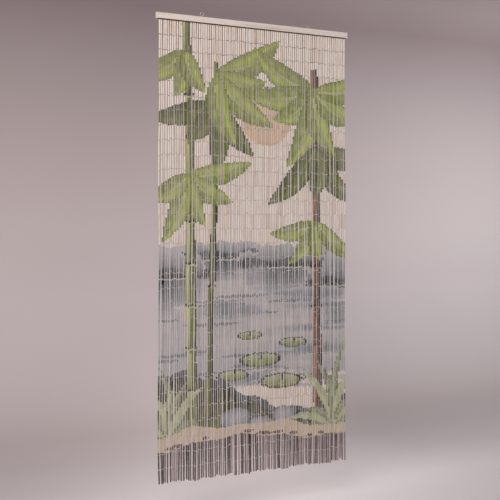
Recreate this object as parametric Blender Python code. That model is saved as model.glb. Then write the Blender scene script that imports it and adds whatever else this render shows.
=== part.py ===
# Bamboo door curtain: a pale wooden head rail with two screw eyes, over a row of hanging strands.
# Units are metres, +Z is up, the front faces -Y and the origin is the middle of the rail's top edge.

import math
import random

import bmesh
import bpy
from mathutils import Matrix, Vector

# The wooden head rail.
railLength = 0.920
railDepth = 0.016
railHeight = 0.025
railEdge = 0.0012
railEdgeSteps = 2

# The hanging strands, and the strip that joins their roots under the rail.
strandCount = 90
strandPitch = 0.0100
strandWidth = 0.0070
strandDepth = 0.0070
stripDepth = 0.0100
stripHeight = 0.0025
seatGap = 0.0003
curtainDrop = 2.000
bendPitch = 0.1795
bendCount = 11

# How the strands stray from straight lines.
swayReach = 0.0034
strayReach = 0.0009
leanReach = 0.0030
hemReach = 0.0075
straySeed = 41

# The two screw eyes in the rail's top.
eyeOffset = 0.255
eyeOutside = 0.0170
eyeWire = 0.0024
eyeRise = 0.0050
shankWire = 0.0026
shankReach = 0.0060
eyeSteps = 32
wireSides = 10
boreSides = 24


def clearScene():
    """Remove whatever the file starts with."""
    for item in list(bpy.data.objects):
        bpy.data.objects.remove(item, do_unlink=True)


def makeCollection(name):
    """Add a collection under the scene."""
    group = bpy.data.collections.new(name)
    bpy.context.scene.collection.children.link(group)
    return group


def makeMaterial(name, colour, roughness, metallic):
    """A plain Principled material."""
    material = bpy.data.materials.new(name)
    material.use_nodes = True
    shader = material.node_tree.nodes["Principled BSDF"]
    shader.inputs["Base Color"].default_value = (*colour, 1.0)
    shader.inputs["Roughness"].default_value = roughness
    shader.inputs["Metallic"].default_value = metallic
    return material


def meshObject(name, shape, group, material):
    """Turn a bmesh into a named object."""
    bmesh.ops.recalc_face_normals(shape, faces=shape.faces)
    mesh = bpy.data.meshes.new(name)
    shape.to_mesh(mesh)
    shape.free()
    mesh.materials.append(material)
    item = bpy.data.objects.new(name, mesh)
    group.objects.link(item)
    return item


def roundBar(radius, length, sides, centre):
    """An upright round bar as a bmesh."""
    shape = bmesh.new()
    bmesh.ops.create_cone(
        shape,
        cap_ends=True,
        segments=sides,
        radius1=radius,
        radius2=radius,
        depth=length,
        matrix=Matrix.Translation(centre),
    )
    return shape


def combine(target, tool, operation):
    """Join a tool object to a target, or cut it away."""
    modifier = target.modifiers.new(tool.name, "BOOLEAN")
    modifier.operation = operation
    modifier.solver = "EXACT"
    modifier.object = tool
    tool.hide_render = True


def headRail(group, tools, material):
    """The lath: a bar with softened edges and a pilot hole under each screw eye."""
    shape = bmesh.new()
    place = Matrix.Translation((0.0, 0.0, -railHeight / 2))
    place = place @ Matrix.Diagonal((railLength, railDepth, railHeight, 1.0))
    bmesh.ops.create_cube(shape, size=1.0, matrix=place)
    bmesh.ops.bevel(
        shape,
        geom=list(shape.edges),
        offset=railEdge,
        offset_type="OFFSET",
        segments=railEdgeSteps,
        profile=0.5,
        affect="EDGES",
        material=-1,
    )
    rail = meshObject("header_rail", shape, group, material)
    for side in (-1, 1):
        # The hole runs past the rail's top, so that the cut leaves no skin.
        depth = shankReach + seatGap
        centre = (side * eyeOffset, 0.0, 0.0)
        hole = roundBar(shankWire / 2 + seatGap, 2 * depth, boreSides, centre)
        combine(rail, meshObject("pilot_hole", hole, tools, material), "DIFFERENCE")
    return rail


def screwEye(name, side, group, tools, material):
    """A wire ring that faces the front, on a straight shank that enters the rail."""
    ringRadius = (eyeOutside - eyeWire) / 2
    centre = Vector((side * eyeOffset, 0.0, eyeRise + eyeOutside / 2))
    shape = bmesh.new()
    start = centre + Vector((ringRadius, 0.0, 0.0))
    place = Matrix.Translation(start)
    loop = bmesh.ops.create_circle(shape, segments=wireSides, radius=eyeWire / 2, matrix=place)
    bmesh.ops.spin(
        shape,
        geom=loop["verts"] + list(shape.edges),
        cent=centre,
        axis=(0.0, 1.0, 0.0),
        angle=2 * math.pi,
        steps=eyeSteps,
        use_merge=True,
    )
    bmesh.ops.remove_doubles(shape, verts=shape.verts, dist=1e-6)
    eye = meshObject(name, shape, group, material)
    # The shank ends inside the ring's wire.
    top = eyeRise + eyeWire / 2
    middle = (side * eyeOffset, 0.0, (top - shankReach) / 2)
    shank = roundBar(shankWire / 2, top + shankReach, wireSides, middle)
    combine(eye, meshObject(name + "_shank", shank, tools, material), "UNION")
    return eye


def swayField(across, down):
    """Sideways stray that neighbours share, from -1 to 1."""
    slow = math.sin(2.1 * across + 2.6 * down + 0.4)
    middle = math.sin(7.3 * across - 4.1 * down + 1.9)
    quick = math.sin(17.0 * across + 6.7 * down + 5.1)
    return 0.42 * slow + 0.33 * middle + 0.25 * quick


def hemField(across):
    """How far the lower ends stray from one line, from -1 to 1."""
    return 0.6 * math.sin(9.0 * across + 0.7) + 0.4 * math.sin(31.0 * across + 2.2)


def strandPath(index, rootZ):
    """Centres of one strand's bends, from its root down to its foot."""
    chance = random.Random(straySeed + index)
    rootX = (index - (strandCount - 1) / 2) * strandPitch
    across = rootX / railLength * math.pi
    uneven = 0.7 * hemField(across) + 0.3 * chance.uniform(-1, 1)
    lean = leanReach * chance.uniform(-1, 1)
    path = []
    for bend in range(1, bendCount + 1):
        share = bend / bendCount
        loose = min(1.0, 0.35 + share)
        x = rootX + loose * swayReach * swayField(across, share * math.pi)
        x += loose * strayReach * chance.uniform(-1, 1)
        y = lean * math.sin(0.8 * share * math.pi) + 0.2 * leanReach * chance.uniform(-1, 1)
        z = rootZ - bend * bendPitch
        if bend == bendCount:
            z = -curtainDrop + hemReach * (1.0 + uneven)
        path.append(Vector((x, y, z)))
    return path


def strandStrip(lower):
    """The strip as a bmesh, and its underside's faces where strands start, from left to right."""
    reach = strandCount * strandPitch / 2
    cuts = [-reach]
    for index in range(strandCount):
        rootX = (index - (strandCount - 1) / 2) * strandPitch
        cuts += [rootX - strandWidth / 2, rootX + strandWidth / 2]
    cuts.append(reach)

    shape = bmesh.new()
    corner = bmesh.ops.create_vert(shape, co=(cuts[0], -stripDepth / 2, lower))["vert"][0]
    for before, after in zip(cuts, cuts[1:]):
        corner = bmesh.ops.extrude_vert_indiv(shape, verts=[corner])["verts"][0]
        corner.co.x += after - before
    row = list(shape.edges)
    margin = (stripDepth - strandDepth) / 2
    for depth in (margin, strandDepth, margin):
        grown = bmesh.ops.extrude_edge_only(shape, edges=row)["geom"]
        corners = [item for item in grown if isinstance(item, bmesh.types.BMVert)]
        bmesh.ops.translate(shape, verts=corners, vec=(0.0, depth, 0.0))
        moved = set(corners)
        row = [
            item
            for item in grown
            if isinstance(item, bmesh.types.BMEdge) and moved.issuperset(item.verts)
        ]

    grown = bmesh.ops.extrude_face_region(shape, geom=list(shape.faces))["geom"]
    raised = [item for item in grown if isinstance(item, bmesh.types.BMVert)]
    bmesh.ops.translate(shape, verts=raised, vec=(0.0, 0.0, stripHeight))
    middle = Vector((0.0, 0.0, lower + stripHeight / 2))
    shape.normal_update()
    # The top, the front and the back of the strip each become one flat face.
    for outward in (Vector((0, 0, 1)), Vector((0, -1, 0)), Vector((0, 1, 0))):
        flat = [
            face
            for face in shape.faces
            if abs(face.normal.dot(outward)) > 0.9
            and (face.calc_center_median() - middle).dot(outward) > stripHeight / 4
        ]
        bmesh.ops.dissolve_faces(shape, faces=flat, use_verts=True)

    def isRoot(face):
        spot = face.calc_center_median()
        place = spot.x / strandPitch + (strandCount - 1) / 2
        inRow = abs(spot.y) < margin / 2 and spot.z < lower + stripHeight / 4
        return inRow and abs(place - round(place)) < 0.1

    roots = sorted(filter(isRoot, shape.faces), key=lambda face: face.calc_center_median().x)
    return shape, roots


def strandRow(group, material):
    """The strands: each is pushed out of the strip's underside, bend by bend, as a four-sided rod."""
    lower = -railHeight - seatGap - stripHeight
    shape, ends = strandStrip(lower)
    paths = [strandPath(index, lower) for index in range(strandCount)]
    centres = [face.calc_center_median() for face in ends]
    for bend in range(bendCount):
        grown = bmesh.ops.extrude_discrete_faces(shape, faces=ends)["faces"]
        ends = sorted(grown, key=lambda face: face.calc_center_median().x)
        for index, face in enumerate(ends):
            move = paths[index][bend] - centres[index]
            bmesh.ops.translate(shape, verts=list(face.verts), vec=move)
            centres[index] = paths[index][bend]
    return meshObject("strands", shape, group, material)


clearScene()
partGroup = makeCollection("bamboo_door_curtain")
toolGroup = makeCollection("cutters")
paleWood = makeMaterial("pale_wood", (0.72, 0.62, 0.53), 0.55, 0.0)
bamboo = makeMaterial("bamboo", (0.66, 0.56, 0.43), 0.50, 0.0)
eyeSteel = makeMaterial("eye_steel", (0.62, 0.60, 0.57), 0.35, 1.0)
headRail(partGroup, toolGroup, paleWood)
strandRow(partGroup, bamboo)
screwEye("screw_eye_left", -1, partGroup, toolGroup, eyeSteel)
screwEye("screw_eye_right", 1, partGroup, toolGroup, eyeSteel)
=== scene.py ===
import math
import random

import bmesh
import bpy
import numpy as np
from mathutils import Matrix, Vector


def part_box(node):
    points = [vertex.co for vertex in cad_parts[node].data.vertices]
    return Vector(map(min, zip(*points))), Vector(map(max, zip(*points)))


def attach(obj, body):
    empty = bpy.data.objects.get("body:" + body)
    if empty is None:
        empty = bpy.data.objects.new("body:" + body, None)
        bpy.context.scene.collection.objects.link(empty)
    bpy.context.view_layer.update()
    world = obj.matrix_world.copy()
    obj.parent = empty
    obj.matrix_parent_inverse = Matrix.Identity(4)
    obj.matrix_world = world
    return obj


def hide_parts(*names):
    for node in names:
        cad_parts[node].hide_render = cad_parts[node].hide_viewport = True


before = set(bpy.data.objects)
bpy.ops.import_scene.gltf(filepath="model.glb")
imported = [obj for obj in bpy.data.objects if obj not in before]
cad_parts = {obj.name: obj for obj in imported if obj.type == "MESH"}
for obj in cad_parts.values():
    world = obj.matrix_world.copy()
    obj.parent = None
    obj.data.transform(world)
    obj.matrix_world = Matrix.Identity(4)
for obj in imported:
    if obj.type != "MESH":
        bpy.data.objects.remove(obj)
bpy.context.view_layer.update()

# Bamboo door curtain, in metres: the front faces -Y and the origin is on top of the rail.
# The painted design is an invented one of bamboo, a lake and reeds.

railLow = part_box("header_rail")[0]


# Colours and materials

def fromDisplay(colour):
    # 0 to 255 as a screen shows it, to the linear values that shaders take
    share = np.array(colour, dtype=float) / 255
    linear = np.where(share <= 0.04045, share / 12.92, ((share + 0.055) / 1.055) ** 2.4)
    return tuple(float(value) for value in linear)


def socketColour(colour):
    return (*fromDisplay(colour), 1.0)


def placeObject(name, content):
    item = bpy.data.objects.new(name, content)
    bpy.context.scene.collection.objects.link(item)
    return item


def startMaterial(name):
    material = bpy.data.materials.new(name)
    material.use_nodes = True
    tree = material.node_tree
    return material, tree, tree.nodes["Principled BSDF"]


def addNode(tree, kind, values=None, **settings):
    # values go to the sockets by name or number, settings to the node itself
    node = tree.nodes.new(kind)
    for key, value in settings.items():
        setattr(node, key, value)
    for key, value in (values or {}).items():
        node.inputs[key].default_value = value
    return node


def feedSockets(tree, sockets, values):
    # a value is another node's socket, or a plain one
    for socket, value in zip(sockets, values):
        if isinstance(value, bpy.types.NodeSocket):
            tree.links.new(value, socket)
        else:
            socket.default_value = value


def mixColours(tree, amount, first, second, blend="MIX"):
    node = addNode(tree, "ShaderNodeMix", data_type="RGBA", blend_type=blend)
    feedSockets(tree, (node.inputs[0], node.inputs[6], node.inputs[7]), (amount, first, second))
    return node.outputs[2]


def mathOf(tree, operation, first, second=0.0, clamp=False):
    node = addNode(tree, "ShaderNodeMath", operation=operation, use_clamp=clamp)
    feedSockets(tree, node.inputs, (first, second))
    return node.outputs[0]


def rampOf(tree, factor, stops):
    # stops are (place, colour) pairs
    node = addNode(tree, "ShaderNodeValToRGB")
    ramp = node.color_ramp
    while len(ramp.elements) < len(stops):
        ramp.elements.new(0.5)
    for element, (place, colour) in zip(ramp.elements, stops):
        element.position = place
        element.color = (*colour, 1.0)
    tree.links.new(factor, node.inputs["Fac"])
    return node.outputs["Color"]


def grainNoise(tree, vector, scale, stretch, detail):
    # noise, drawn out along the axes whose stretch is under 1
    mapping = addNode(tree, "ShaderNodeMapping")
    mapping.inputs["Scale"].default_value = stretch
    tree.links.new(vector, mapping.inputs["Vector"])
    noise = addNode(tree, "ShaderNodeTexNoise", {"Scale": scale, "Detail": detail})
    tree.links.new(mapping.outputs["Vector"], noise.inputs["Vector"])
    return noise.outputs["Fac"]


def addBump(tree, shader, height, strength, depth):
    bump = addNode(tree, "ShaderNodeBump", {"Strength": strength, "Distance": depth})
    tree.links.new(height, bump.inputs["Height"])
    tree.links.new(bump.outputs["Normal"], shader.inputs["Normal"])


def addRoughness(tree, shader, noise, reach, least):
    # the noise roughens the surface from the least roughness by up to its reach
    rough = mathOf(tree, "ADD", mathOf(tree, "MULTIPLY", noise, reach), least)
    tree.links.new(rough, shader.inputs["Roughness"])


caneLook = {
    "pale": (238, 227, 217),
    "middle": (231, 215, 202),
    "warm": (222, 201, 184),
    # painted shade: the colour that the bores' insides are darkened to
    "bore": (86, 66, 48),
    "cut": (166, 146, 130),  # what the cut ends are darkened by
    "knot": (214, 196, 172),
    "roughness": 0.46,
    "paintRoughness": 0.62,
    "stainRoughness": 0.10,
    "gloss": 0.42,
    "grainDepth": 0.00012,
    "grainStrength": 0.5,
    "knotHeight": 2.0,  # beside the fibres' height of 1
    # each noise: its scale, its stretch on the three axes and its detail
    "fibres": (900.0, (1.0, 1.0, 0.035), 2.0),
    "stains": (70.0, (1.0, 1.0, 0.35), 3.0),
    "streaks": (520.0, (1.0, 1.0, 0.06), 3.0),
    "flecks": (260.0, (1.0, 1.0, 0.5), 4.0),
    "grainShift": 3.7,  # how far apart the tubes' stretches of the grain lie
    "fibreTones": [(0.30, (0.70, 0.66, 0.60)), (0.62, (1.0, 1.0, 1.0))],
    "fibreShare": 0.55,
    "paintFibreShare": 0.30,
    "stainTones": [(0.34, (0.80, 0.74, 0.67)), (0.56, (1.0, 1.0, 1.0))],
    "stainShare": 0.32,
    "knotScatter": 61.7,  # these two scatter a tube's tone, to choose tubes and heights for knots
    "levelScatter": 29.3,
    "knotless": 0.76,  # share of the tubes without a knot
    "knotZone": (0.2, 0.6),  # where knots start, and over how much of the tube they spread
    "knotSharpness": 75.0,
    # an end of a tube is 0.5 away from its middle
    "wearStart": 0.45,
    "wearGrowth": 5.0,
    "cutStart": 0.478,
    "cutGrowth": 24.0,
    "streakStart": 0.44,  # the streaks' value under which paint thins
    "streakGrowth": 2.4,
    "knotWear": 0.35,
}


def makeCaneMaterial():
    # reads two attributes: paint (colour and cover) and cane (tone, share along the tube, and how much
    # painted shade darkens the bores)
    material, tree, shader = startMaterial("paintedCane")
    link = tree.links.new
    place = addNode(tree, "ShaderNodeTexCoord").outputs["Object"]
    paint = addNode(tree, "ShaderNodeAttribute", attribute_name="paint")
    cane = addNode(tree, "ShaderNodeAttribute", attribute_name="cane")
    parts = addNode(tree, "ShaderNodeSeparateColor")
    link(cane.outputs["Color"], parts.inputs["Color"])
    tone, along, boreShade = parts.outputs

    # each tube takes its own stretch of the grain
    shifted = addNode(tree, "ShaderNodeVectorMath", operation="ADD")
    spread = addNode(tree, "ShaderNodeCombineXYZ")
    link(mathOf(tree, "MULTIPLY", tone, caneLook["grainShift"]), spread.inputs["Z"])
    link(place, shifted.inputs[0])
    link(spread.outputs["Vector"], shifted.inputs[1])
    fibres, stains, streaks, flecks = (
        grainNoise(tree, shifted.outputs["Vector"], *caneLook[noise])
        for noise in ("fibres", "stains", "streaks", "flecks")
    )

    body = rampOf(tree, tone, [
        (0.0, fromDisplay(caneLook["pale"])),
        (0.75, fromDisplay(caneLook["middle"])),
        (1.0, fromDisplay(caneLook["warm"])),
    ])
    fibreTone = rampOf(tree, fibres, caneLook["fibreTones"])
    body = mixColours(tree, caneLook["fibreShare"], body, fibreTone, "MULTIPLY")
    stainTone = rampOf(tree, stains, caneLook["stainTones"])
    body = mixColours(tree, caneLook["stainShare"], body, stainTone, "MULTIPLY")

    # some tubes have a knot: a thin ring that is darker and stands out
    lot = mathOf(tree, "FRACT", mathOf(tree, "MULTIPLY", tone, caneLook["knotScatter"]))
    chosen = mathOf(tree, "GREATER_THAN", lot, caneLook["knotless"])
    knotStart, knotReach = caneLook["knotZone"]
    level = mathOf(tree, "FRACT", mathOf(tree, "MULTIPLY", tone, caneLook["levelScatter"]))
    level = mathOf(tree, "ADD", mathOf(tree, "MULTIPLY", level, knotReach), knotStart)
    apart = mathOf(tree, "ABSOLUTE", mathOf(tree, "SUBTRACT", along, level))
    apart = mathOf(tree, "MULTIPLY", apart, caneLook["knotSharpness"])
    ring = mathOf(tree, "SUBTRACT", 1.0, apart, True)
    knot = mathOf(tree, "MULTIPLY", ring, chosen)
    body = mixColours(tree, knot, body, socketColour(caneLook["knot"]), "MULTIPLY")

    # paint is brushed on: streaks let the cane through, and it is worn at the tube's ends
    fromMiddle = mathOf(tree, "ABSOLUTE", mathOf(tree, "SUBTRACT", along, 0.5))
    endWear = mathOf(tree, "SUBTRACT", fromMiddle, caneLook["wearStart"], True)
    endWear = mathOf(tree, "MULTIPLY", endWear, caneLook["wearGrowth"])
    worn = mathOf(tree, "MULTIPLY", endWear, flecks)
    thin = mathOf(tree, "SUBTRACT", caneLook["streakStart"], streaks, True)
    thin = mathOf(tree, "MULTIPLY", thin, caneLook["streakGrowth"])
    thin = mathOf(tree, "ADD", thin, mathOf(tree, "MULTIPLY", knot, caneLook["knotWear"]))
    cover = mathOf(tree, "SUBTRACT", paint.outputs["Alpha"], mathOf(tree, "ADD", worn, thin), True)
    painted = mixColours(tree, caneLook["paintFibreShare"], paint.outputs["Color"], fibreTone, "MULTIPLY")
    colour = mixColours(tree, cover, body, painted)
    cutEnd = mathOf(tree, "SUBTRACT", fromMiddle, caneLook["cutStart"], True)
    cutEnd = mathOf(tree, "MULTIPLY", cutEnd, caneLook["cutGrowth"], True)
    colour = mixColours(tree, cutEnd, colour, socketColour(caneLook["cut"]), "MULTIPLY")
    # painted shade darkens the bores' walls and floors
    colour = mixColours(tree, boreShade, colour, socketColour(caneLook["bore"]))
    link(colour, shader.inputs["Base Color"])

    rough = addNode(tree, "ShaderNodeMix", data_type="FLOAT")
    link(cover, rough.inputs[0])
    rough.inputs[2].default_value = caneLook["roughness"]
    rough.inputs[3].default_value = caneLook["paintRoughness"]
    stained = mathOf(tree, "MULTIPLY", stains, caneLook["stainRoughness"])
    link(mathOf(tree, "ADD", rough.outputs[0], stained), shader.inputs["Roughness"])
    shader.inputs["Specular IOR Level"].default_value = caneLook["gloss"]
    height = mathOf(tree, "ADD", fibres, mathOf(tree, "MULTIPLY", knot, caneLook["knotHeight"]))
    addBump(tree, shader, height, caneLook["grainStrength"], caneLook["grainDepth"])
    return material


railLook = {
    "pale": (233, 221, 213),
    "grain": (212, 192, 174),
    "dark": (176, 146, 118),
    "leastRoughness": 0.45,
    "fibreRoughness": 0.2,
    "grainDepth": 0.00015,
    "grainStrength": 0.6,
    "rings": (60.0, (0.05, 1.0, 1.0), 4.0),  # scale, stretch and detail of the noises
    "fibres": (900.0, (0.02, 1.0, 1.0), 3.0),
    "pores": (1600.0, (0.05, 1.0, 1.0), 1.0),
    "ringPlaces": (0.30, 0.50, 0.68, 0.78),
    "fibreTones": [(0.32, (0.80, 0.76, 0.70)), (0.60, (1.0, 1.0, 1.0))],
    "fibreShare": 0.6,
    "poreTones": [(0.30, (1.0, 1.0, 1.0)), (0.36, (0.0, 0.0, 0.0))],
}


def makeRailMaterial():
    # planed pale wood, its grain along X
    material, tree, shader = startMaterial("planedWood")
    place = addNode(tree, "ShaderNodeTexCoord").outputs["Object"]
    rings, fibres, pores = (
        grainNoise(tree, place, *railLook[noise]) for noise in ("rings", "fibres", "pores")
    )
    ringTones = ("grain", "pale", "pale", "grain")
    colour = rampOf(tree, rings, [
        (spot, fromDisplay(railLook[tone])) for spot, tone in zip(railLook["ringPlaces"], ringTones)
    ])
    fibreTone = rampOf(tree, fibres, railLook["fibreTones"])
    colour = mixColours(tree, railLook["fibreShare"], colour, fibreTone, "MULTIPLY")
    poreMask = rampOf(tree, pores, railLook["poreTones"])
    colour = mixColours(tree, poreMask, colour, socketColour(railLook["dark"]))
    tree.links.new(colour, shader.inputs["Base Color"])
    addRoughness(tree, shader, fibres, railLook["fibreRoughness"], railLook["leastRoughness"])
    addBump(tree, shader, fibres, railLook["grainStrength"], railLook["grainDepth"])
    return material


wireGrain = {  # scale, stretch and detail of the noises
    "tarnish": (180.0, (1.0, 1.0, 1.0), 3.0),
    "scratches": (2600.0, (1.0, 1.0, 0.2), 2.0),
    "scratchRoughness": 0.25,
    "scratchDepth": 0.00005,
    "scratchStrength": 0.3,
}
wireLook = {
    "bright": (176, 168, 156),
    "dull": (120, 110, 98),
    "leastRoughness": 0.28,
}
eyeLook = {
    "bright": (232, 228, 222),
    "dull": (190, 184, 178),
    "leastRoughness": 0.20,
}


def makeWireMaterial(name, look):
    # drawn wire with a little tarnish
    material, tree, shader = startMaterial(name)
    place = addNode(tree, "ShaderNodeTexCoord").outputs["Object"]
    tarnish = grainNoise(tree, place, *wireGrain["tarnish"])
    scratches = grainNoise(tree, place, *wireGrain["scratches"])
    colour = rampOf(tree, tarnish, [(0.35, fromDisplay(look["dull"])), (0.60, fromDisplay(look["bright"]))])
    tree.links.new(colour, shader.inputs["Base Color"])
    shader.inputs["Metallic"].default_value = 1.0
    addRoughness(tree, shader, scratches, wireGrain["scratchRoughness"], look["leastRoughness"])
    addBump(tree, shader, scratches, wireGrain["scratchStrength"], wireGrain["scratchDepth"])
    return material


caneMaterial = makeCaneMaterial()
railMaterial = makeRailMaterial()
linkMaterial = makeWireMaterial("linkWire", wireLook)
eyeMaterial = makeWireMaterial("platedWire", eyeLook)
print("materials made")


# Where the strands hang

strandSetup = {
    "count": 90,
    "pitch": 0.0100,
    "rootDrop": 0.0278,  # where the solids' strands leave their strip, under the rail's top
    "bendPitch": 0.1795,
    "bends": 11,
    "sway": 0.0034,
    "stray": 0.0009,
    "lean": 0.0030,
    "hem": 0.0075,
    "drop": 2.000,
    "seed": 41,
    "railLength": 0.920,
}


def swayField(across, down):
    slow = math.sin(2.1 * across + 2.6 * down + 0.4)
    middle = math.sin(7.3 * across - 4.1 * down + 1.9)
    quick = math.sin(17.0 * across + 6.7 * down + 5.1)
    return 0.42 * slow + 0.33 * middle + 0.25 * quick


def hemField(across):
    return 0.6 * math.sin(9.0 * across + 0.7) + 0.4 * math.sin(31.0 * across + 2.2)


def strandPath(index):
    # the solids' own bends, from the root to the foot, as three lists
    chance = random.Random(strandSetup["seed"] + index)
    rootX = (index - (strandSetup["count"] - 1) / 2) * strandSetup["pitch"]
    rootZ = -strandSetup["rootDrop"]
    across = rootX / strandSetup["railLength"] * math.pi
    uneven = 0.7 * hemField(across) + 0.3 * chance.uniform(-1, 1)
    lean = strandSetup["lean"] * chance.uniform(-1, 1)
    xs, ys, zs = [rootX], [0.0], [rootZ]
    for bend in range(1, strandSetup["bends"] + 1):
        share = bend / strandSetup["bends"]
        loose = min(1.0, 0.35 + share)
        x = rootX + loose * strandSetup["sway"] * swayField(across, share * math.pi)
        x += loose * strandSetup["stray"] * chance.uniform(-1, 1)
        y = lean * math.sin(0.8 * share * math.pi) + 0.2 * strandSetup["lean"] * chance.uniform(-1, 1)
        z = rootZ - bend * strandSetup["bendPitch"]
        if bend == strandSetup["bends"]:
            z = -strandSetup["drop"] + strandSetup["hem"] * (1.0 + uneven)
        xs.append(x)
        ys.append(y)
        zs.append(z)
    return xs, ys, zs


tubeSetup = {
    "perStrand": 31,
    "sides": 8,
    "radius": 0.0035,
    "radiusStray": 0.00022,
    "bore": 0.48,  # share of the outer radius
    "boreDepth": 0.004,
    "lip": 0.0004,
    "gap": (0.0005, 0.0031),  # least and most between one tube's end and the next, mostly small
    "footStray": 0.0080,  # how far a strand's last tube may stop short
    "railGap": 0.0036,
    "lengthStray": 0.0011,  # how unequal the tubes are
    "firstStray": 0.0040,  # how unequal each strand's first tube is
    "tilt": 0.0004,
    "drift": 0.0026,  # how far a strand strays sideways from the solids' path
    "depthDrift": 0.6,  # its stray to the front and back, as a share of that
    "driftKnots": 7,
    "spacing": 0.0074,  # the least between neighbours' middles
    "innerRings": 5,
    "ringMargin": 0.0022,  # the least between an inner ring and the tube's end
    "swell": 0.02,
    "swellPace": 1.7,
    "oval": 0.03,
    "paintStray": 0.08,  # how much lighter or darker a tube's paint may be
    "lipPaint": 0.35,  # cover on the rounded edge at a tube's end
    # painted shade on the bores' inner walls
    "mouthShade": 0.75,
    "strandsPerGroup": 5,
    "seed": 17,
    "jointSeed": 500,
}


def driftAlong(dice, drops, reach):
    # a slow stray down a strand, given as shares from its root to its foot
    knots = dice.uniform(-1, 1, tubeSetup["driftKnots"]) * reach
    knots[0] *= 0.5
    return np.interp(drops, np.linspace(0, 1, tubeSetup["driftKnots"]), knots)


def jointPlaces(index, dice):
    # the middle of each gap in a strand and how wide it is, top and bottom ones included
    xs, ys, zs = strandPath(index)
    count = tubeSetup["perStrand"]
    least, most = tubeSetup["gap"]
    gaps = least + (most - least) * dice.uniform(0, 1, count + 1) ** 2
    top = railLow.z - tubeSetup["railGap"] + gaps[0] / 2
    foot = zs[-1] + tubeSetup["footStray"] * dice.uniform(0, 1) ** 1.5 - gaps[-1] / 2
    lengths = 1 + dice.normal(0, tubeSetup["lengthStray"], count) * count / (top - foot)
    lengths[0] += dice.uniform(-1, 1) * tubeSetup["firstStray"] * count / (top - foot)
    drops = np.concatenate([[0.0], np.cumsum(lengths) / lengths.sum()])
    levels = top - drops * (top - foot)
    x = np.interp(-levels, [-z for z in zs], xs)
    y = np.interp(-levels, [-z for z in zs], ys)
    x += driftAlong(dice, drops, tubeSetup["drift"])
    y += driftAlong(dice, drops, tubeSetup["depthDrift"] * tubeSetup["drift"])
    x[1:] += dice.uniform(-1, 1, count) * tubeSetup["tilt"]
    y[1:] += dice.uniform(-1, 1, count) * tubeSetup["tilt"]
    return np.stack([x, y, levels, gaps], axis=1)


# The painted design, worked out as one sample for every 2 mm of each strand: places are across from
# the left strand's edge and down from the rail's top, and each layer covers the ones before it

paints = {
    "leafBright": (184, 196, 84),
    "leafMid": (124, 136, 62),
    "leafPale": (194, 196, 136),
    "leafDark": (84, 90, 48),
    "leafShade": (56, 60, 42),
    "sage": (204, 208, 164),
    "sageMid": (174, 180, 140),
    "sageDark": (124, 130, 102),
    "slatePale": (178, 176, 178),
    "slate": (128, 134, 140),
    "slateDark": (84, 92, 96),
    "mist": (198, 190, 184),
    "sand": (212, 192, 168),
    "sun": (220, 184, 152),
    "earth": (112, 86, 72),
    "earthDark": (66, 50, 48),
    "rust": (164, 114, 86),
    "hem": (66, 52, 52),
    "hemPale": (172, 156, 154),
}
paintNames = list(paints)
paintSetup = {
    "step": 0.002,
    "drop": 1.99,
    "handStray": 0.0022,  # how far the brush strays from strand to strand
    "seed": 7,
}
paintDice = np.random.default_rng(paintSetup["seed"])
samplesDown = int(paintSetup["drop"] / paintSetup["step"])
across, down = np.meshgrid(
    (np.arange(strandSetup["count"]) + 0.5) * strandSetup["pitch"],
    np.arange(samplesDown) * paintSetup["step"],
    indexing="ij",
)
down = down + paintDice.normal(0, paintSetup["handStray"], strandSetup["count"])[:, None]
paintLayer = np.full(across.shape, -1, dtype=int)  # -1 is bare cane
paintColour = np.zeros((*across.shape, 3))


def lay(mask, name, other=None, share=0.0):
    # one paint, or one that fades into another by a share from 0 to 1
    paintLayer[mask] = paintNames.index(name)
    colour = np.array(fromDisplay(paints[name]))
    if other:
        fade = np.clip(share[mask], 0, 1)[:, None]
        colour = colour * (1 - fade) + np.array(fromDisplay(paints[other])) * fade
    paintColour[mask] = colour


def blob(centreAcross, centreDown, halfWidth, halfHeight):
    # under 1 inside an oval
    return np.hypot((across - centreAcross) / halfWidth, (down - centreDown) / halfHeight)


leafTones = {  # the lit parts, the body, the edge and the vein
    "fresh": ("leafBright", "leafMid", "leafDark", "leafPale"),
    "shaded": ("leafMid", "leafDark", "leafShade", "leafMid"),
    "faded": ("sage", "sageMid", "sageDark", "leafPale"),
    "dusty": ("sageMid", "sageDark", "leafDark", "sage"),
}


def paintLeaf(root, tip, width, sag, tones):
    light, body, edge, vein = tones
    run = (tip[0] - root[0], tip[1] - root[1])
    length = math.hypot(*run)
    along = ((across - root[0]) * run[0] + (down - root[1]) * run[1]) / length ** 2
    aside = ((down - root[1]) * run[0] - (across - root[0]) * run[1]) / length
    inside = np.clip(along, 0, 1)
    half = width / 2 * np.sin(math.pi * inside ** 0.8) ** 0.75 + 1e-6
    side = (aside - 4 * sag * inside * (1 - inside)) / half
    side[(along <= 0) | (along >= 1)] = 9
    ribs = 0.5 + 0.5 * np.sin(along * 30 - np.abs(side) * 3.4)
    glow = np.exp(-((side + 0.42) / 0.36) ** 2) * (0.75 + 0.25 * ribs)
    glow = (glow + 0.6 * np.exp(-((side - 0.42) / 0.22) ** 2) * ribs) * (0.55 + 0.60 * inside)
    lay(np.abs(side) < 1, edge, body, 0.45 + 0 * side)
    lay(np.abs(side) < 0.93, body, light, glow)
    lay((np.abs(side) < 0.15 - 0.05 * inside) & (along > 0.04) & (along < 0.92), vein, body, inside)


def paintSpray(centre, reach, width, angles, sag, tones):
    # leaves that fan out of one knot, angles in degrees below the right
    for number, angle in enumerate(angles):
        far = reach * (0.82 + 0.18 * math.sin(2.3 * number + centre[0] * 9))
        turn = math.radians(angle)
        tip = (centre[0] + far * math.cos(turn), centre[1] + far * math.sin(turn))
        paintLeaf(centre, tip, width, math.copysign(sag, math.cos(turn)), leafTones[tones])


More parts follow.
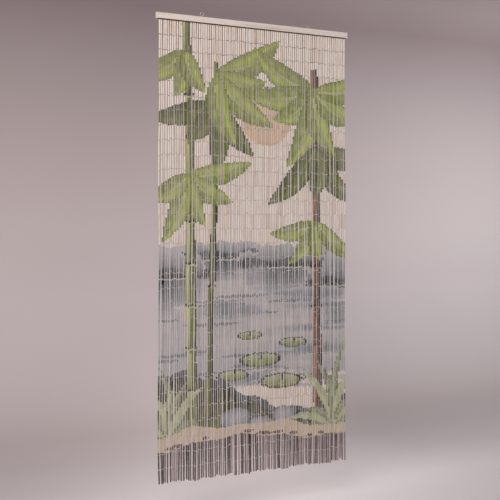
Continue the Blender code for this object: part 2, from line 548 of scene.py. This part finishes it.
sprays = {  # knot, reach, leaves' width, their angles, sag and tones, from the back to the front
    "middleLow": ((0.262, 0.34), 0.34, 0.096, (166, 130, 92, 52), 0.020, "shaded"),
    "rightMiddle": ((0.745, 0.52), 0.36, 0.104, (10, 52, 92, 132), 0.024, "shaded"),
    "leftMiddle": ((0.130, 0.66), 0.31, 0.094, (-12, 28, 70, 112, 150), 0.020, "fresh"),
    "middleTop": ((0.262, 0.22), 0.37, 0.112, (-30, 4, 38, 74), 0.030, "fresh"),
    "leftTop": ((0.120, 0.13), 0.26, 0.094, (148, 104, 62), 0.018, "fresh"),
    "rightTop": ((0.740, 0.26), 0.39, 0.116, (-150, 176, 146, 112, 70, 28, -14), 0.034, "fresh"),
    "rightLow": ((0.755, 0.86), 0.27, 0.082, (168, 128, 86, 40), 0.020, "fresh"),
}
culms = {  # top, foot, width, stretches between knots, and tones: lit side, body, shaded side and knots
    "left": ((0.120, -0.05), (0.165, 1.76), 0.048, 10, ("leafPale", "leafMid", "leafDark", "leafShade")),
    "middle": ((0.262, 0.16), (0.232, 1.72), 0.032, 8, ("leafMid", "leafDark", "leafShade", "earthDark")),
    "right": ((0.735, 0.16), (0.765, 1.78), 0.050, 9, ("rust", "earth", "earthDark", "earthDark")),
}


def paintCulm(top, foot, width, knots, tones):
    light, body, dark, ring = tones
    share = np.clip((down - top[1]) / (foot[1] - top[1]), 0, 1)
    middle = top[0] + (foot[0] - top[0]) * share + 0.006 * np.sin(6 * share)
    side = (across - middle) / (width / 2 * (0.75 + 0.25 * share))
    inside = (down > top[1]) & (down < foot[1]) & (np.abs(side) < 1)
    stretch = np.mod(share * knots, 1.0)  # from one knot to the next
    lay(inside, body, dark, 0.6 * stretch ** 2)
    lay(inside & (side < -0.25), light, body, 0.8 * stretch ** 2)
    lay(inside & (side > 0.45), dark, ring, 0.7 * stretch ** 2)
    for knot in range(1, knots):
        level = top[1] + (foot[1] - top[1]) * knot / knots
        lay((np.abs(side) < 1.15) & (np.abs(down - level) < 0.005), ring)
        lay((np.abs(side) < 1.0) & (down > level + 0.005) & (down < level + 0.012), light)


disc = {"across": 0.50, "down": 0.40, "radius": 0.120, "inner": 0.84, "fadeStart": 0.30, "fadeReach": 0.3}


def paintSky():
    place = blob(disc["across"], disc["down"], disc["radius"], disc["radius"])
    lay(place < 1, "sun")
    lay(place < disc["inner"], "sand", "sun", (down - disc["fadeStart"]) / disc["fadeReach"])


islands = {  # across, down to the waterline, half width, height
    "left": (0.30, 1.02, 0.24, 0.075),
    "middle": (0.60, 1.06, 0.26, 0.10),
    "leftEdge": (0.02, 1.10, 0.22, 0.12),
    "rightEdge": (0.90, 1.15, 0.20, 0.15),
}
lake = {"shore": 0.955, "water": 1.03, "foot": 1.55}  # how far down its far edge, open water and near end are
lakeMarks = {  # how many, and the ranges of their places across and down, half widths and half heights
    "sheens": (16, (0, 0.9), (1.18, 1.56), (0.12, 0.26), (0.018, 0.040)),
    "ripples": (46, (0, 0.9), (1.17, 1.60), (0.05, 0.15), (0.004, 0.009)),
}


def scatterMarks(name):
    count, *ranges = lakeMarks[name]
    for number in range(count):
        yield number, blob(*(paintDice.uniform(*spread) for spread in ranges))


def paintLake():
    water = lake["water"]
    shore = lake["shore"] + 0.012 * np.sin(across * 14) + 0.006 * np.sin(across * 41)
    lay((down > shore) & (down < water), "slatePale", "mist", (down - shore) / 0.06)
    lay((down > water) & (down < lake["foot"]), "mist", "slatePale", (down - water) / 0.45)
    for place in islands.values():
        centre, level, width, height = place
        dome = blob(centre, level, width, height) + 0.09 * np.sin(across * 60) + 0.05 * np.sin(across * 131)
        land = (dome < 1) & (down < level)
        lift = (level - down) / height
        lay(land, "slateDark", "slatePale", 0.15 + 0.85 * lift)
        lay(land & (dome > 0.90), "slatePale")
        foot = level - 0.035 - 0.01 * np.sin(across * 33)
        lay(land & (down > foot), "slateDark", "leafShade", 1 - 3 * lift)
        mirror = blob(centre, level, width * 0.94, height * 1.3) + 0.06 * np.sin(down * 260)
        lay((mirror < 1) & (down >= level + 0.006), "slateDark", "slatePale", mirror ** 1.5)
    for number, mark in scatterMarks("sheens"):
        sheen = mark + 0.05 * np.sin(down * 310)
        lay(sheen < 1, "slate" if number % 2 else "mist", "slatePale", sheen ** 2)
    tones = ("slate", "slatePale", "slate", "mist")
    for number, ripple in scatterMarks("ripples"):
        lay(ripple < 1, tones[number % 4])


pads = {  # across, down, half width
    "near": (0.57, 1.57, 0.090),
    "middle": (0.47, 1.47, 0.085),
    "left": (0.34, 1.53, 0.065),
    "far": (0.63, 1.40, 0.060),
    "farthest": (0.42, 1.36, 0.050),
}


def paintPads():
    for place in pads.values():
        centre, level, width = place
        height = width * 0.32
        pad = blob(centre, level, width, height)
        lay(pad < 1.18, "leafShade")
        lay(pad < 1, "sageMid", "leafMid", 0.55 + (down - level) / height * 0.65)
        slit = np.abs(across - centre - 0.3 * (level - down)) < 0.006
        lay(slit & (pad < 1) & (down < level), "leafShade")


stones = {  # across, down, half width, half height
    "left": (0.36, 1.730, 0.085, 0.055),
    "middle": (0.48, 1.765, 0.070, 0.040),
    "right": (0.59, 1.735, 0.060, 0.050),
}
bankSetup = {"down": 1.60, "rise": 0.10, "moss": 0.030, "grass": 0.110}


def paintBank():
    bank = bankSetup["down"] - bankSetup["rise"] * np.sin(across * 5.2 + 1.2) + 0.012 * np.sin(across * 37)
    moss = bank + bankSetup["moss"] + 0.012 * np.sin(across * 55)
    grass = bank + bankSetup["grass"] + 0.014 * np.sin(across * 43)
    lay(down > bank, "slateDark")
    lay(down > moss, "leafShade", "leafDark", (down - bank) / 0.16)
    lay(down > grass, "leafDark", "leafMid", (down - bank - bankSetup["grass"]) / 0.2)
    for place in stones.values():
        centre, level, width, height = place
        lay(blob(centre, level, width, height) < 1, "slateDark")
        lit = blob(centre - 0.010, level - 0.012, width * 0.86, height * 0.80)
        lay(lit < 1, "slatePale", "slate", lit ** 2)


tufts = {  # root, reach, first and last angle, and blades
    "left": ((0.06, 1.79), 0.36, -168, -6, 11),
    "right": ((0.84, 1.80), 0.44, -172, -2, 12),
}


def paintTuft(root, reach, firstAngle, lastAngle, count):
    # arching blades that fan upwards out of the bank
    for number, angle in enumerate(np.linspace(firstAngle, lastAngle, count)):
        turn = math.radians(angle)
        far = reach * (0.80 + 0.20 * math.sin(number * 2.1 + root[0]))
        tipAcross = root[0] + far * 0.72 * math.cos(turn)
        tipDown = root[1] + far * math.sin(turn) + 0.10 * abs(math.cos(turn))
        tones = leafTones["faded" if number % 2 else "dusty"]
        paintLeaf(root, (tipAcross, tipDown), 0.040, math.copysign(0.030, -math.cos(turn)), tones)


hemSetup = {"down": 1.815, "sand": 0.055, "clods": 12, "clodWidth": (0.012, 0.030), "clodHeight": 0.007}


def hemLine(place):
    return hemSetup["down"] + 0.022 * np.sin(place * 7.2 + 2.2) + 0.006 * np.sin(place * 29)


def paintHem():
    line = hemLine(across)
    lay(down > line - hemSetup["sand"] - 0.014 * np.sin(across * 13), "sand")
    # each strand has its own share of the pale paint, and more of it towards its foot
    fade = paintDice.uniform(0, 1, strandSetup["count"])[:, None] ** 1.8 + 1.6 * (down - line)
    lay(down > line, "hem", "hemPale", fade)
    for _ in range(hemSetup["clods"]):
        centre = paintDice.uniform(0.02, 0.88)
        width = paintDice.uniform(*hemSetup["clodWidth"])
        lay(blob(centre, hemLine(centre) - 0.012, width, hemSetup["clodHeight"]) < 1, "earth")


paintSky()
paintLake()
paintPads()
paintBank()
for paintPiece, places in ((paintCulm, culms), (paintTuft, tufts), (paintSpray, sprays)):
    for place in places.values():
        paintPiece(*place)
paintHem()
print("design painted")


# Bamboo tubes

ringCount = tubeSetup["innerRings"] + 6  # with a bore floor, a bore mouth and an outer edge at both ends


def makeTubeTemplate():
    # a closed skin of plain rings, one above another, that every tube then bends to its own sizes
    shape = bmesh.new()
    sides = tubeSetup["sides"]
    bmesh.ops.create_circle(shape, segments=sides, radius=1.0, cap_ends=True)
    ring = list(shape.edges)
    for _ in range(1, ringCount):
        grown = bmesh.ops.extrude_edge_only(shape, edges=ring)["geom"]
        corners = [item for item in grown if isinstance(item, bmesh.types.BMVert)]
        bmesh.ops.translate(shape, verts=corners, vec=(0.0, 0.0, 1.0))
        raised = set(corners)
        edges = [item for item in grown if isinstance(item, bmesh.types.BMEdge)]
        ring = [edge for edge in edges if raised.issuperset(edge.verts)]
    bmesh.ops.contextual_create(shape, geom=ring)
    bmesh.ops.recalc_face_normals(shape, faces=shape.faces)
    return shape


def readTemplate(shape):
    # what the arrays need: each corner's ring, its place round the tube, and each face's lower ring
    shape.verts.index_update()
    shape.verts.ensure_lookup_table()
    spots = np.array([vert.co[:] for vert in shape.verts])
    rings = np.rint(spots[:, 2]).astype(int)
    turns = np.arctan2(spots[:, 1], spots[:, 0]) / (2 * math.pi) * tubeSetup["sides"]
    turns = np.rint(turns).astype(int) % tubeSetup["sides"]
    faces, cornerVerts, cornerTurns, cornerBands = [], [], [], []
    for face in shape.faces:
        verts = [vert.index for vert in face.verts]
        faces.append(verts)
        band = min(rings[verts])
        flat = max(rings[verts]) == band
        for vert in verts:
            turn = turns[vert]
            if not flat and turn == 0 and max(turns[verts]) == tubeSetup["sides"] - 1:
                turn = tubeSetup["sides"]
            cornerVerts.append(vert)
            cornerTurns.append(turn)
            cornerBands.append(-1 if flat and band == 0 else (band if not flat else max(rings)))
    return spots, rings, faces, np.array(cornerVerts), np.array(cornerTurns, float), np.array(cornerBands)


templateShape = makeTubeTemplate()
tubeSpots, tubeRings, tubeFaces, cornerVerts, cornerTurns, cornerBands = readTemplate(templateShape)
templateShape.free()
cornerUpper = (tubeRings[cornerVerts] > cornerBands).astype(int)
cornerFloor = (cornerBands < 0) | (cornerBands == ringCount - 1)


def findSpans(heights, topZ, footZ):
    # a tube's heights with its two ends, and the room from each to the next
    edges = [topZ, *heights, footZ]
    return edges, [above - below for above, below in zip(edges, edges[1:])]


def pickRings(index, topZ, footZ):
    # heights of the rings inside a tube, low to high: where paint changes, then where there is most room
    wanted = tubeSetup["innerRings"]
    margin = tubeSetup["ringMargin"]
    first = max(0, int((railLow.z - topZ) / paintSetup["step"]))
    last = min(samplesDown - 1, int((railLow.z - footZ) / paintSetup["step"]))
    column = paintLayer[index, first:last + 1]
    changes = np.nonzero(np.diff(column))[0] + 1
    heights = [railLow.z - (first + change) * paintSetup["step"] for change in changes]
    heights = [height for height in heights if footZ + margin < height < topZ - margin]
    while len(heights) > wanted:
        # the thinnest stripe goes first
        spans = findSpans(heights, topZ, footZ)[1]
        thin = spans.index(min(spans))
        heights.pop(min(thin, len(heights) - 1))
    while len(heights) < wanted:
        edges, spans = findSpans(heights, topZ, footZ)
        wide = spans.index(max(spans))
        heights.insert(wide, (edges[wide] + edges[wide + 1]) / 2)
    return heights[::-1]


def bandPaint(index, low, high):
    # paint at the lower and upper ends of one band of a tube, or nothing where the cane is bare
    first = max(0, int((railLow.z - high) / paintSetup["step"] + 0.5))
    last = min(samplesDown - 1, max(first, int((railLow.z - low) / paintSetup["step"] - 0.5)))
    middle = paintLayer[index, (first + last) // 2]
    if middle < 0:
        return None
    same = first + np.nonzero(paintLayer[index, first:last + 1] == middle)[0]
    return paintColour[index, same[-1]], paintColour[index, same[0]]


mapSetup = {  # where a tube's corners lie in its cell of the map, as shares of the cell
    "columns": 16,
    "ends": (0.02, 0.06, 0.10),  # bore floor, bore mouth and outer edge, and the same from the other end
    "side": 0.04,
    "floorPlace": 0.020,
    "floorRadius": 0.014,
}


def tubeArrays(index, place, nextPlace, dice):
    # one tube's vertices, and its corners' paint, cane and map values
    topZ = place[2] - place[3] / 2
    footZ = nextPlace[2] + nextPlace[3] / 2
    radius = tubeSetup["radius"] + dice.uniform(-1, 1) * tubeSetup["radiusStray"]
    bore = radius * tubeSetup["bore"]
    lip, boreDepth = tubeSetup["lip"], tubeSetup["boreDepth"]
    inner = pickRings(index, topZ, footZ)
    heights = np.array([
        footZ + boreDepth, footZ, footZ + lip, *inner, topZ - lip, topZ, topZ - boreDepth,
    ])
    # a slight swelling and thinning along the tube
    swellPhase = dice.uniform(0, 6) + np.arange(len(inner)) * tubeSetup["swellPace"]
    swell = 1 + tubeSetup["swell"] * np.sin(swellPhase)
    radii = np.array([bore, bore, radius, *(radius * swell), radius, bore, bore])
    spin = dice.uniform(0, 2 * math.pi)
    oval = 1 + dice.uniform(-tubeSetup["oval"], tubeSetup["oval"])
    angle = np.arctan2(tubeSpots[:, 1], tubeSpots[:, 0]) + spin
    z = heights[tubeRings]
    share = (place[2] - z) / (place[2] - nextPlace[2])
    x = place[0] + (nextPlace[0] - place[0]) * share + radii[tubeRings] * np.cos(angle) * oval
    y = place[1] + (nextPlace[1] - place[1]) * share + radii[tubeRings] * np.sin(angle) / oval
    verts = np.stack([x, y, z], axis=1)

    # bands between rings: 2 up to innerRings + 2 are the painted wall, with a lip beyond each end
    bandCount = ringCount - 1
    lastWall = tubeSetup["innerRings"] + 2
    paint = np.zeros((bandCount + 2, 2, 4))
    wobble = 1 + dice.uniform(-tubeSetup["paintStray"], tubeSetup["paintStray"])
    for band in range(2, lastWall + 1):
        ends = bandPaint(index, heights[band], heights[band + 1])
        if ends:
            paint[band, :, :3] = np.clip(np.array(ends) * wobble, 0, 1)
            paint[band, :, 3] = 1.0
    for lipBand, wallBand, end in ((1, 2, 0), (lastWall + 1, lastWall, 1)):
        paint[lipBand] = paint[wallBand, end] * (1, 1, 1, tubeSetup["lipPaint"])
    # painted shade inside the bores
    boreShade = np.zeros(bandCount + 2)
    boreShade[[0, bandCount - 1]] = tubeSetup["mouthShade"]
    boreShade[[-1, bandCount]] = 1.0  # painted shade, darkest on the bores' floors
    tone = dice.uniform(0, 1) ** 2
    cornerShare = np.clip((topZ - z) / (topZ - footZ), 0, 1)[cornerVerts]
    cornerPaint = paint[cornerBands, cornerUpper]
    cornerCane = np.stack([
        np.full(len(cornerVerts), tone), cornerShare, boreShade[cornerBands], np.ones(len(cornerVerts)),
    ], axis=1)

    # the map: the wall takes the middle of the tube's cell, lips and bores the strips at its ends
    ends, side = mapSetup["ends"], mapSetup["side"]
    strip = np.array([*ends, *inner, *(1 - end for end in reversed(ends))])
    wall = slice(len(ends), len(ends) + tubeSetup["innerRings"])
    strip[wall] = ends[-1] + (1 - 2 * ends[-1]) * (heights[wall] - footZ) / (topZ - footZ)
    u = side + (1 - 2 * side) * cornerTurns / tubeSetup["sides"]
    v = strip[tubeRings[cornerVerts]]
    # each bore's floor is a small disc at the cell's left side
    u[cornerFloor] = mapSetup["floorPlace"] + mapSetup["floorRadius"] * tubeSpots[cornerVerts[cornerFloor], 0]
    v[cornerFloor] += mapSetup["floorRadius"] * tubeSpots[cornerVerts[cornerFloor], 1]
    return verts, cornerPaint, cornerCane, np.stack([u, v], axis=1)


def makeTubeGroup(groupIndex):
    # the tubes of a few neighbouring strands as one mesh
    perGroup = tubeSetup["strandsPerGroup"]
    count = perGroup * tubeSetup["perStrand"]
    columns, rows = mapSetup["columns"], math.ceil(count / mapSetup["columns"])
    vertParts, paintParts, caneParts, mapParts = [], [], [], []
    number = 0
    for index in range(groupIndex * perGroup, (groupIndex + 1) * perGroup):
        dice = np.random.default_rng(tubeSetup["seed"] + index)
        places = strandJoints[index]
        for place, nextPlace in zip(places, places[1:]):
            verts, paint, cane, spots = tubeArrays(index, place, nextPlace, dice)
            cell = np.array([number % columns, number // columns])
            vertParts.append(verts)
            paintParts.append(paint)
            caneParts.append(cane)
            mapParts.append((cell + spots) / (columns, rows))
            number += 1
    base = len(tubeSpots)
    faces = [[base * tube + vert for vert in face] for tube in range(number) for face in tubeFaces]
    mesh = bpy.data.meshes.new(f"strandGroup{groupIndex + 1:02d}")
    mesh.from_pydata(np.concatenate(vertParts).tolist(), [], faces)
    for name, parts in (("paint", paintParts), ("cane", caneParts)):
        layer = mesh.color_attributes.new(name, "FLOAT_COLOR", "CORNER")
        layer.data.foreach_set("color", np.concatenate(parts).ravel())
    mesh.uv_layers.new(name="OFBake").data.foreach_set("uv", np.concatenate(mapParts).ravel())
    mesh.shade_smooth()
    mesh.set_sharp_from_angle(angle=math.radians(40))
    mesh.materials.append(caneMaterial)
    group = placeObject(mesh.name, mesh)
    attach(group, "root")
    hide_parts("strands")


strandJoints = []
for index in range(strandSetup["count"]):
    strandJoints.append(jointPlaces(index, np.random.default_rng(tubeSetup["jointSeed"] + index)))
for before, after in zip(strandJoints, strandJoints[1:]):
    after[:, 0] = np.maximum(after[:, 0], before[:, 0] + tubeSetup["spacing"])
for groupIndex in range(strandSetup["count"] // tubeSetup["strandsPerGroup"]):
    makeTubeGroup(groupIndex)
print("tubes hung:", strandSetup["count"] * tubeSetup["perStrand"])


# Wire links and hanging loops

linkSetup = {
    "wire": 0.00032,  # radius
    "halfWidth": 0.00095,
    "halfLength": 0.0030,
    "overlap": 0.0011,
    "loopHalfWidth": 0.0011,  # of the loops under the rail
    "loopHalfLength": 0.0052,
    "loopTurn": 0.4,
    "steps": 6,
    "sides": 4,
    "seed": 91,
    "loopSeed": 92,
}


def makeLoopTemplate(halfWidth, halfLength):
    # a long loop of thin wire in the XZ plane
    shape = bmesh.new()
    radius = linkSetup["wire"]
    start = Matrix.Translation((halfWidth, 0.0, 0.0))
    bmesh.ops.create_circle(shape, segments=linkSetup["sides"], radius=radius, matrix=start)
    bmesh.ops.spin(
        shape, geom=list(shape.verts) + list(shape.edges), cent=(0, 0, 0), axis=(0, 1, 0),
        angle=2 * math.pi, steps=linkSetup["steps"], use_merge=True,
    )
    bmesh.ops.remove_doubles(shape, verts=shape.verts, dist=1e-6)
    for vert in shape.verts:
        vert.co.z += math.copysign(halfLength - halfWidth, vert.co.z) if abs(vert.co.z) > 1e-5 else 0.0
    bmesh.ops.recalc_face_normals(shape, faces=shape.faces)
    shape.verts.index_update()
    spots = np.array([vert.co[:] for vert in shape.verts])
    faces = [[vert.index for vert in face.verts] for face in shape.faces]
    shape.free()
    return spots, faces


def joinCopies(name, parts):
    # parts are (vertices, faces) pairs, joined into one piece of wire
    verts, faces, offset = [], [], 0
    for spots, loops in parts:
        verts.append(spots)
        faces += [[offset + vert for vert in loop] for loop in loops]
        offset += len(spots)
    mesh = bpy.data.meshes.new(name)
    mesh.from_pydata(np.concatenate(verts).tolist(), [], faces)
    mesh.shade_smooth()
    mesh.materials.append(linkMaterial)
    piece = placeObject(name, mesh)
    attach(piece, "root")
    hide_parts("strands")


def turned(spots, angle):
    turn = np.array(Matrix.Rotation(angle, 3, "Z"))
    return spots @ turn.T


def makeLinks():
    spots, faces = makeLoopTemplate(linkSetup["halfWidth"], linkSetup["halfLength"])
    dice = np.random.default_rng(linkSetup["seed"])
    half = strandSetup["count"] // 2
    reach = linkSetup["halfLength"] - linkSetup["overlap"] / 2
    for side, first in (("left", 0), ("right", half)):
        parts = []
        for index in range(first, first + half):
            for place in strandJoints[index][1:-1, :3]:
                angle = dice.uniform(0, math.pi)
                upper = turned(spots, angle) + place + (0, 0, reach)
                lower = turned(spots, angle + math.pi / 2) + place - (0, 0, reach)
                parts += [(upper, faces), (lower, faces)]
        joinCopies(f"wireLinks_{side}", parts)


def makeHangingLoops():
    # each strand's first loop comes out of a hole in the rail's underside
    spots, faces = makeLoopTemplate(linkSetup["loopHalfWidth"], linkSetup["loopHalfLength"])
    parts = []
    dice = np.random.default_rng(linkSetup["loopSeed"])
    for joints in strandJoints:
        place = (joints[0, 0], joints[0, 1], railLow.z - tubeSetup["railGap"])
        angle = dice.uniform(-linkSetup["loopTurn"], linkSetup["loopTurn"])
        parts.append((turned(spots, angle) + place, faces))
    joinCopies("hangingLoops", parts)


stripSetup = {
    "length": 0.900,
    "depth": 0.0100,
    "height": 0.0025,
    "gap": 0.0003,  # under the rail
    "edge": 0.0004,
    # a dark brown that is painted shadow under the rail
    "colour": (74, 58, 50),
    "grainTone": 0.7,  # how dark its grain is beside its colour
    "roughness": 0.7,
}


def makeRootStrip():
    # the strip that the strands' loops hang from, a real part coloured dark brown as painted shadow under the
    # rail
    material, tree, shader = startMaterial("stripPaintedShadow")
    place = addNode(tree, "ShaderNodeTexCoord").outputs["Object"]
    fibres = grainNoise(tree, place, *railLook["fibres"])
    stain = fromDisplay(stripSetup["colour"])
    grain = tuple(stripSetup["grainTone"] * value for value in stain)
    colour = rampOf(tree, fibres, [(0.35, grain), (0.65, stain)])
    tree.links.new(colour, shader.inputs["Base Color"])
    shader.inputs["Roughness"].default_value = stripSetup["roughness"]
    shape = bmesh.new()
    low = railLow.z - stripSetup["gap"] - stripSetup["height"]
    sizes = (stripSetup["length"], stripSetup["depth"], stripSetup["height"], 1.0)
    spot = Matrix.Translation((0.0, 0.0, low + stripSetup["height"] / 2)) @ Matrix.Diagonal(sizes)
    bmesh.ops.create_cube(shape, size=1.0, matrix=spot)
    bmesh.ops.bevel(
        shape, geom=list(shape.edges), offset=stripSetup["edge"], offset_type="OFFSET",
        segments=2, profile=0.5, affect="EDGES", material=-1,
    )
    mesh = bpy.data.meshes.new("rootStrip")
    shape.to_mesh(mesh)
    shape.free()
    mesh.materials.append(material)
    strip = placeObject("rootStrip", mesh)
    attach(strip, "root")
    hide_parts("strands")


makeLinks()
makeHangingLoops()
makeRootStrip()
print("links made")


# The rail and the screw eyes keep their solids' shapes

def dressNode(name, material):
    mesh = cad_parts[name].data
    mesh.materials.clear()
    mesh.materials.append(material)


dressNode("header_rail", railMaterial)
for name in ("screw_eye_left", "screw_eye_right"):
    dressNode(name, eyeMaterial)
print("rail dressed")


# Studio

studio = {
    "floor": -2.16,
    "depthShare": 0.35,  # how much a place's depth counts beside its height in the tones
    "tones": [  # the paper's colours with painted light and shade in them, darker in the bend and towards the top, from the floor's front to the wall's top
        (-2.10, (216, 207, 208)),
        (-1.95, (198, 188, 189)),
        (-1.81, (185, 174, 174)),
        (-1.67, (184, 171, 171)),
        (-1.50, (196, 183, 183)),
        (-1.30, (202, 190, 190)),
        (-0.80, (212, 199, 200)),
        (-0.40, (206, 193, 193)),
        (0.10, (189, 175, 174)),
        (0.60, (164, 150, 151)),
        (0.98, (141, 125, 126)),
        (1.20, (152, 136, 137)),
    ],
    "back": 1.5,  # how far the backdrop stands behind the curtain
    "reach": 8.0,
    "tall": 5.0,
    "bend": 0.9,
    "bendSteps": 12,
    "clouds": (0.8, (1.0, 1.0, 1.0), 2.0),  # scale, stretch and detail of its slight blotches
    "cloudTones": [(0.3, (0.96, 0.96, 0.96)), (0.7, (1.0, 1.0, 1.0))],
    "roughness": 0.9,
    "gloss": 0.1,
}


def makeBackdrop():
    # one sweep of paper: the floor, a rounded bend and the wall, with painted shade that darkens it in the
    # bend and towards its top
    material, tree, shader = startMaterial("studioPaperPaintedShade")
    place = addNode(tree, "ShaderNodeTexCoord").outputs["Object"]
    parts = addNode(tree, "ShaderNodeSeparateXYZ")
    tree.links.new(place, parts.inputs["Vector"])
    deep = mathOf(tree, "MULTIPLY", parts.outputs["Y"], studio["depthShare"])
    lowest, highest = studio["tones"][0][0], studio["tones"][-1][0]
    share = addNode(tree, "ShaderNodeMapRange", {"From Min": lowest, "From Max": highest})
    tree.links.new(mathOf(tree, "ADD", parts.outputs["Z"], deep), share.inputs["Value"])
    # the ramp paints light and shade onto the paper's colour
    tone = rampOf(tree, share.outputs["Result"], [
        ((level - lowest) / (highest - lowest), fromDisplay(colour)) for level, colour in studio["tones"]
    ])
    cloud = rampOf(tree, grainNoise(tree, place, *studio["clouds"]), studio["cloudTones"])
    tree.links.new(mixColours(tree, 1.0, tone, cloud, "MULTIPLY"), shader.inputs["Base Color"])
    shader.inputs["Roughness"].default_value = studio["roughness"]
    shader.inputs["Specular IOR Level"].default_value = studio["gloss"]
    # its back doesn't hide the curtain from views behind it
    rays = addNode(tree, "ShaderNodeLightPath").outputs["Is Camera Ray"]
    backFace = addNode(tree, "ShaderNodeNewGeometry").outputs["Backfacing"]
    clear = addNode(tree, "ShaderNodeBsdfTransparent")
    blend = addNode(tree, "ShaderNodeMixShader")
    tree.links.new(mathOf(tree, "MULTIPLY", rays, backFace), blend.inputs[0])
    tree.links.new(shader.outputs["BSDF"], blend.inputs[1])
    tree.links.new(clear.outputs["BSDF"], blend.inputs[2])
    tree.links.new(blend.outputs["Shader"], tree.nodes["Material Output"].inputs["Surface"])
    reach, floor, bend = studio["reach"], studio["floor"], studio["bend"]
    bendStart = studio["back"] - bend
    path = [(bendStart, floor)]
    for step in range(1, studio["bendSteps"] + 1):
        angle = math.pi / 2 * step / studio["bendSteps"]
        path.append((bendStart + bend * math.sin(angle), floor + bend * (1 - math.cos(angle))))
    path.append((studio["back"], studio["tall"]))
    shape = bmesh.new()
    corner = bmesh.ops.create_vert(shape, co=(-reach, -reach, floor))["vert"][0]
    for y, z in path:
        corner = bmesh.ops.extrude_vert_indiv(shape, verts=[corner])["verts"][0]
        corner.co = Vector((-reach, y, z))
    grown = bmesh.ops.extrude_edge_only(shape, edges=list(shape.edges))["geom"]
    moved = [item for item in grown if isinstance(item, bmesh.types.BMVert)]
    bmesh.ops.translate(shape, verts=moved, vec=(2 * reach, 0.0, 0.0))
    shape.normal_update()
    if sum(face.normal.z for face in shape.faces) < 0:
        bmesh.ops.reverse_faces(shape, faces=shape.faces)
    mesh = bpy.data.meshes.new("backdrop")
    shape.to_mesh(mesh)
    shape.free()
    mesh.shade_smooth()
    mesh.materials.append(material)
    backdrop = placeObject("backdrop", mesh)


warmLight, coolLight = (1.0, 0.98, 0.97), (0.93, 0.99, 1.0)
lights = {  # place, aim, size in metres, power in watts, spread in degrees and colour
    "key": ((-2.5, -2.6, 1.3), (0.0, 0.0, -1.0), 3.0, 134.0, 180, warmLight),
    "fill": ((2.8, -4.2, -0.4), (0.0, 0.0, -1.1), 3.0, 4.0, 180, warmLight),
    "wall": ((2.3, 0.3, -0.1), (1.3, 1.5, -0.7), 2.4, 20.5, 150, coolLight),
    "floor": ((0.45, 0.95, -0.75), (0.15, 0.30, -2.16), 0.9, 3.4, 90, warmLight),
}
studioAir = {"colour": (0.80, 0.78, 0.80, 1.0), "strength": 0.32}


def makeLights():
    for name, (place, aim, size, power, spread, colour) in lights.items():
        lamp = bpy.data.lights.new(name + "Light", "AREA")
        lamp.size = size
        lamp.energy = power
        lamp.color = colour
        lamp.spread = math.radians(spread)
        item = placeObject(name + "Light", lamp)
        item.location = place
        item.rotation_euler = (Vector(aim) - item.location).to_track_quat("-Z", "Y").to_euler()
        item.visible_camera = False
    world = bpy.data.worlds.new("studioAir")
    world.use_nodes = True
    air = world.node_tree.nodes["Background"]
    air.inputs["Color"].default_value = studioAir["colour"]
    air.inputs["Strength"].default_value = studioAir["strength"]
    bpy.context.scene.world = world


cameraSetup = {
    "azimuth": 23.11,  # degrees to the left of straight on
    "distance": 3.518,
    "height": -0.915,
    "pitch": 0.28,
    "focal": 792.0,  # in pixels of the picture
    "pictureWidth": 500,
    "sensor": 36.0,
    "shift": (-0.0124, -0.05),
}


def makeCamera():
    turn = math.radians(cameraSetup["azimuth"])
    lens = bpy.data.cameras.new("photoCamera")
    lens.sensor_width = cameraSetup["sensor"]
    lens.lens = cameraSetup["focal"] / cameraSetup["pictureWidth"] * lens.sensor_width
    lens.shift_x, lens.shift_y = cameraSetup["shift"]
    camera = placeObject("photoCamera", lens)
    camera.location = (
        -math.sin(turn) * cameraSetup["distance"],
        -math.cos(turn) * cameraSetup["distance"],
        cameraSetup["height"],
    )
    camera.rotation_euler = (math.radians(90 + cameraSetup["pitch"]), 0.0, -turn)
    bpy.context.scene.camera = camera


makeBackdrop()
makeLights()
makeCamera()
bpy.context.scene.view_settings.view_transform = "Standard"
print("studio set")
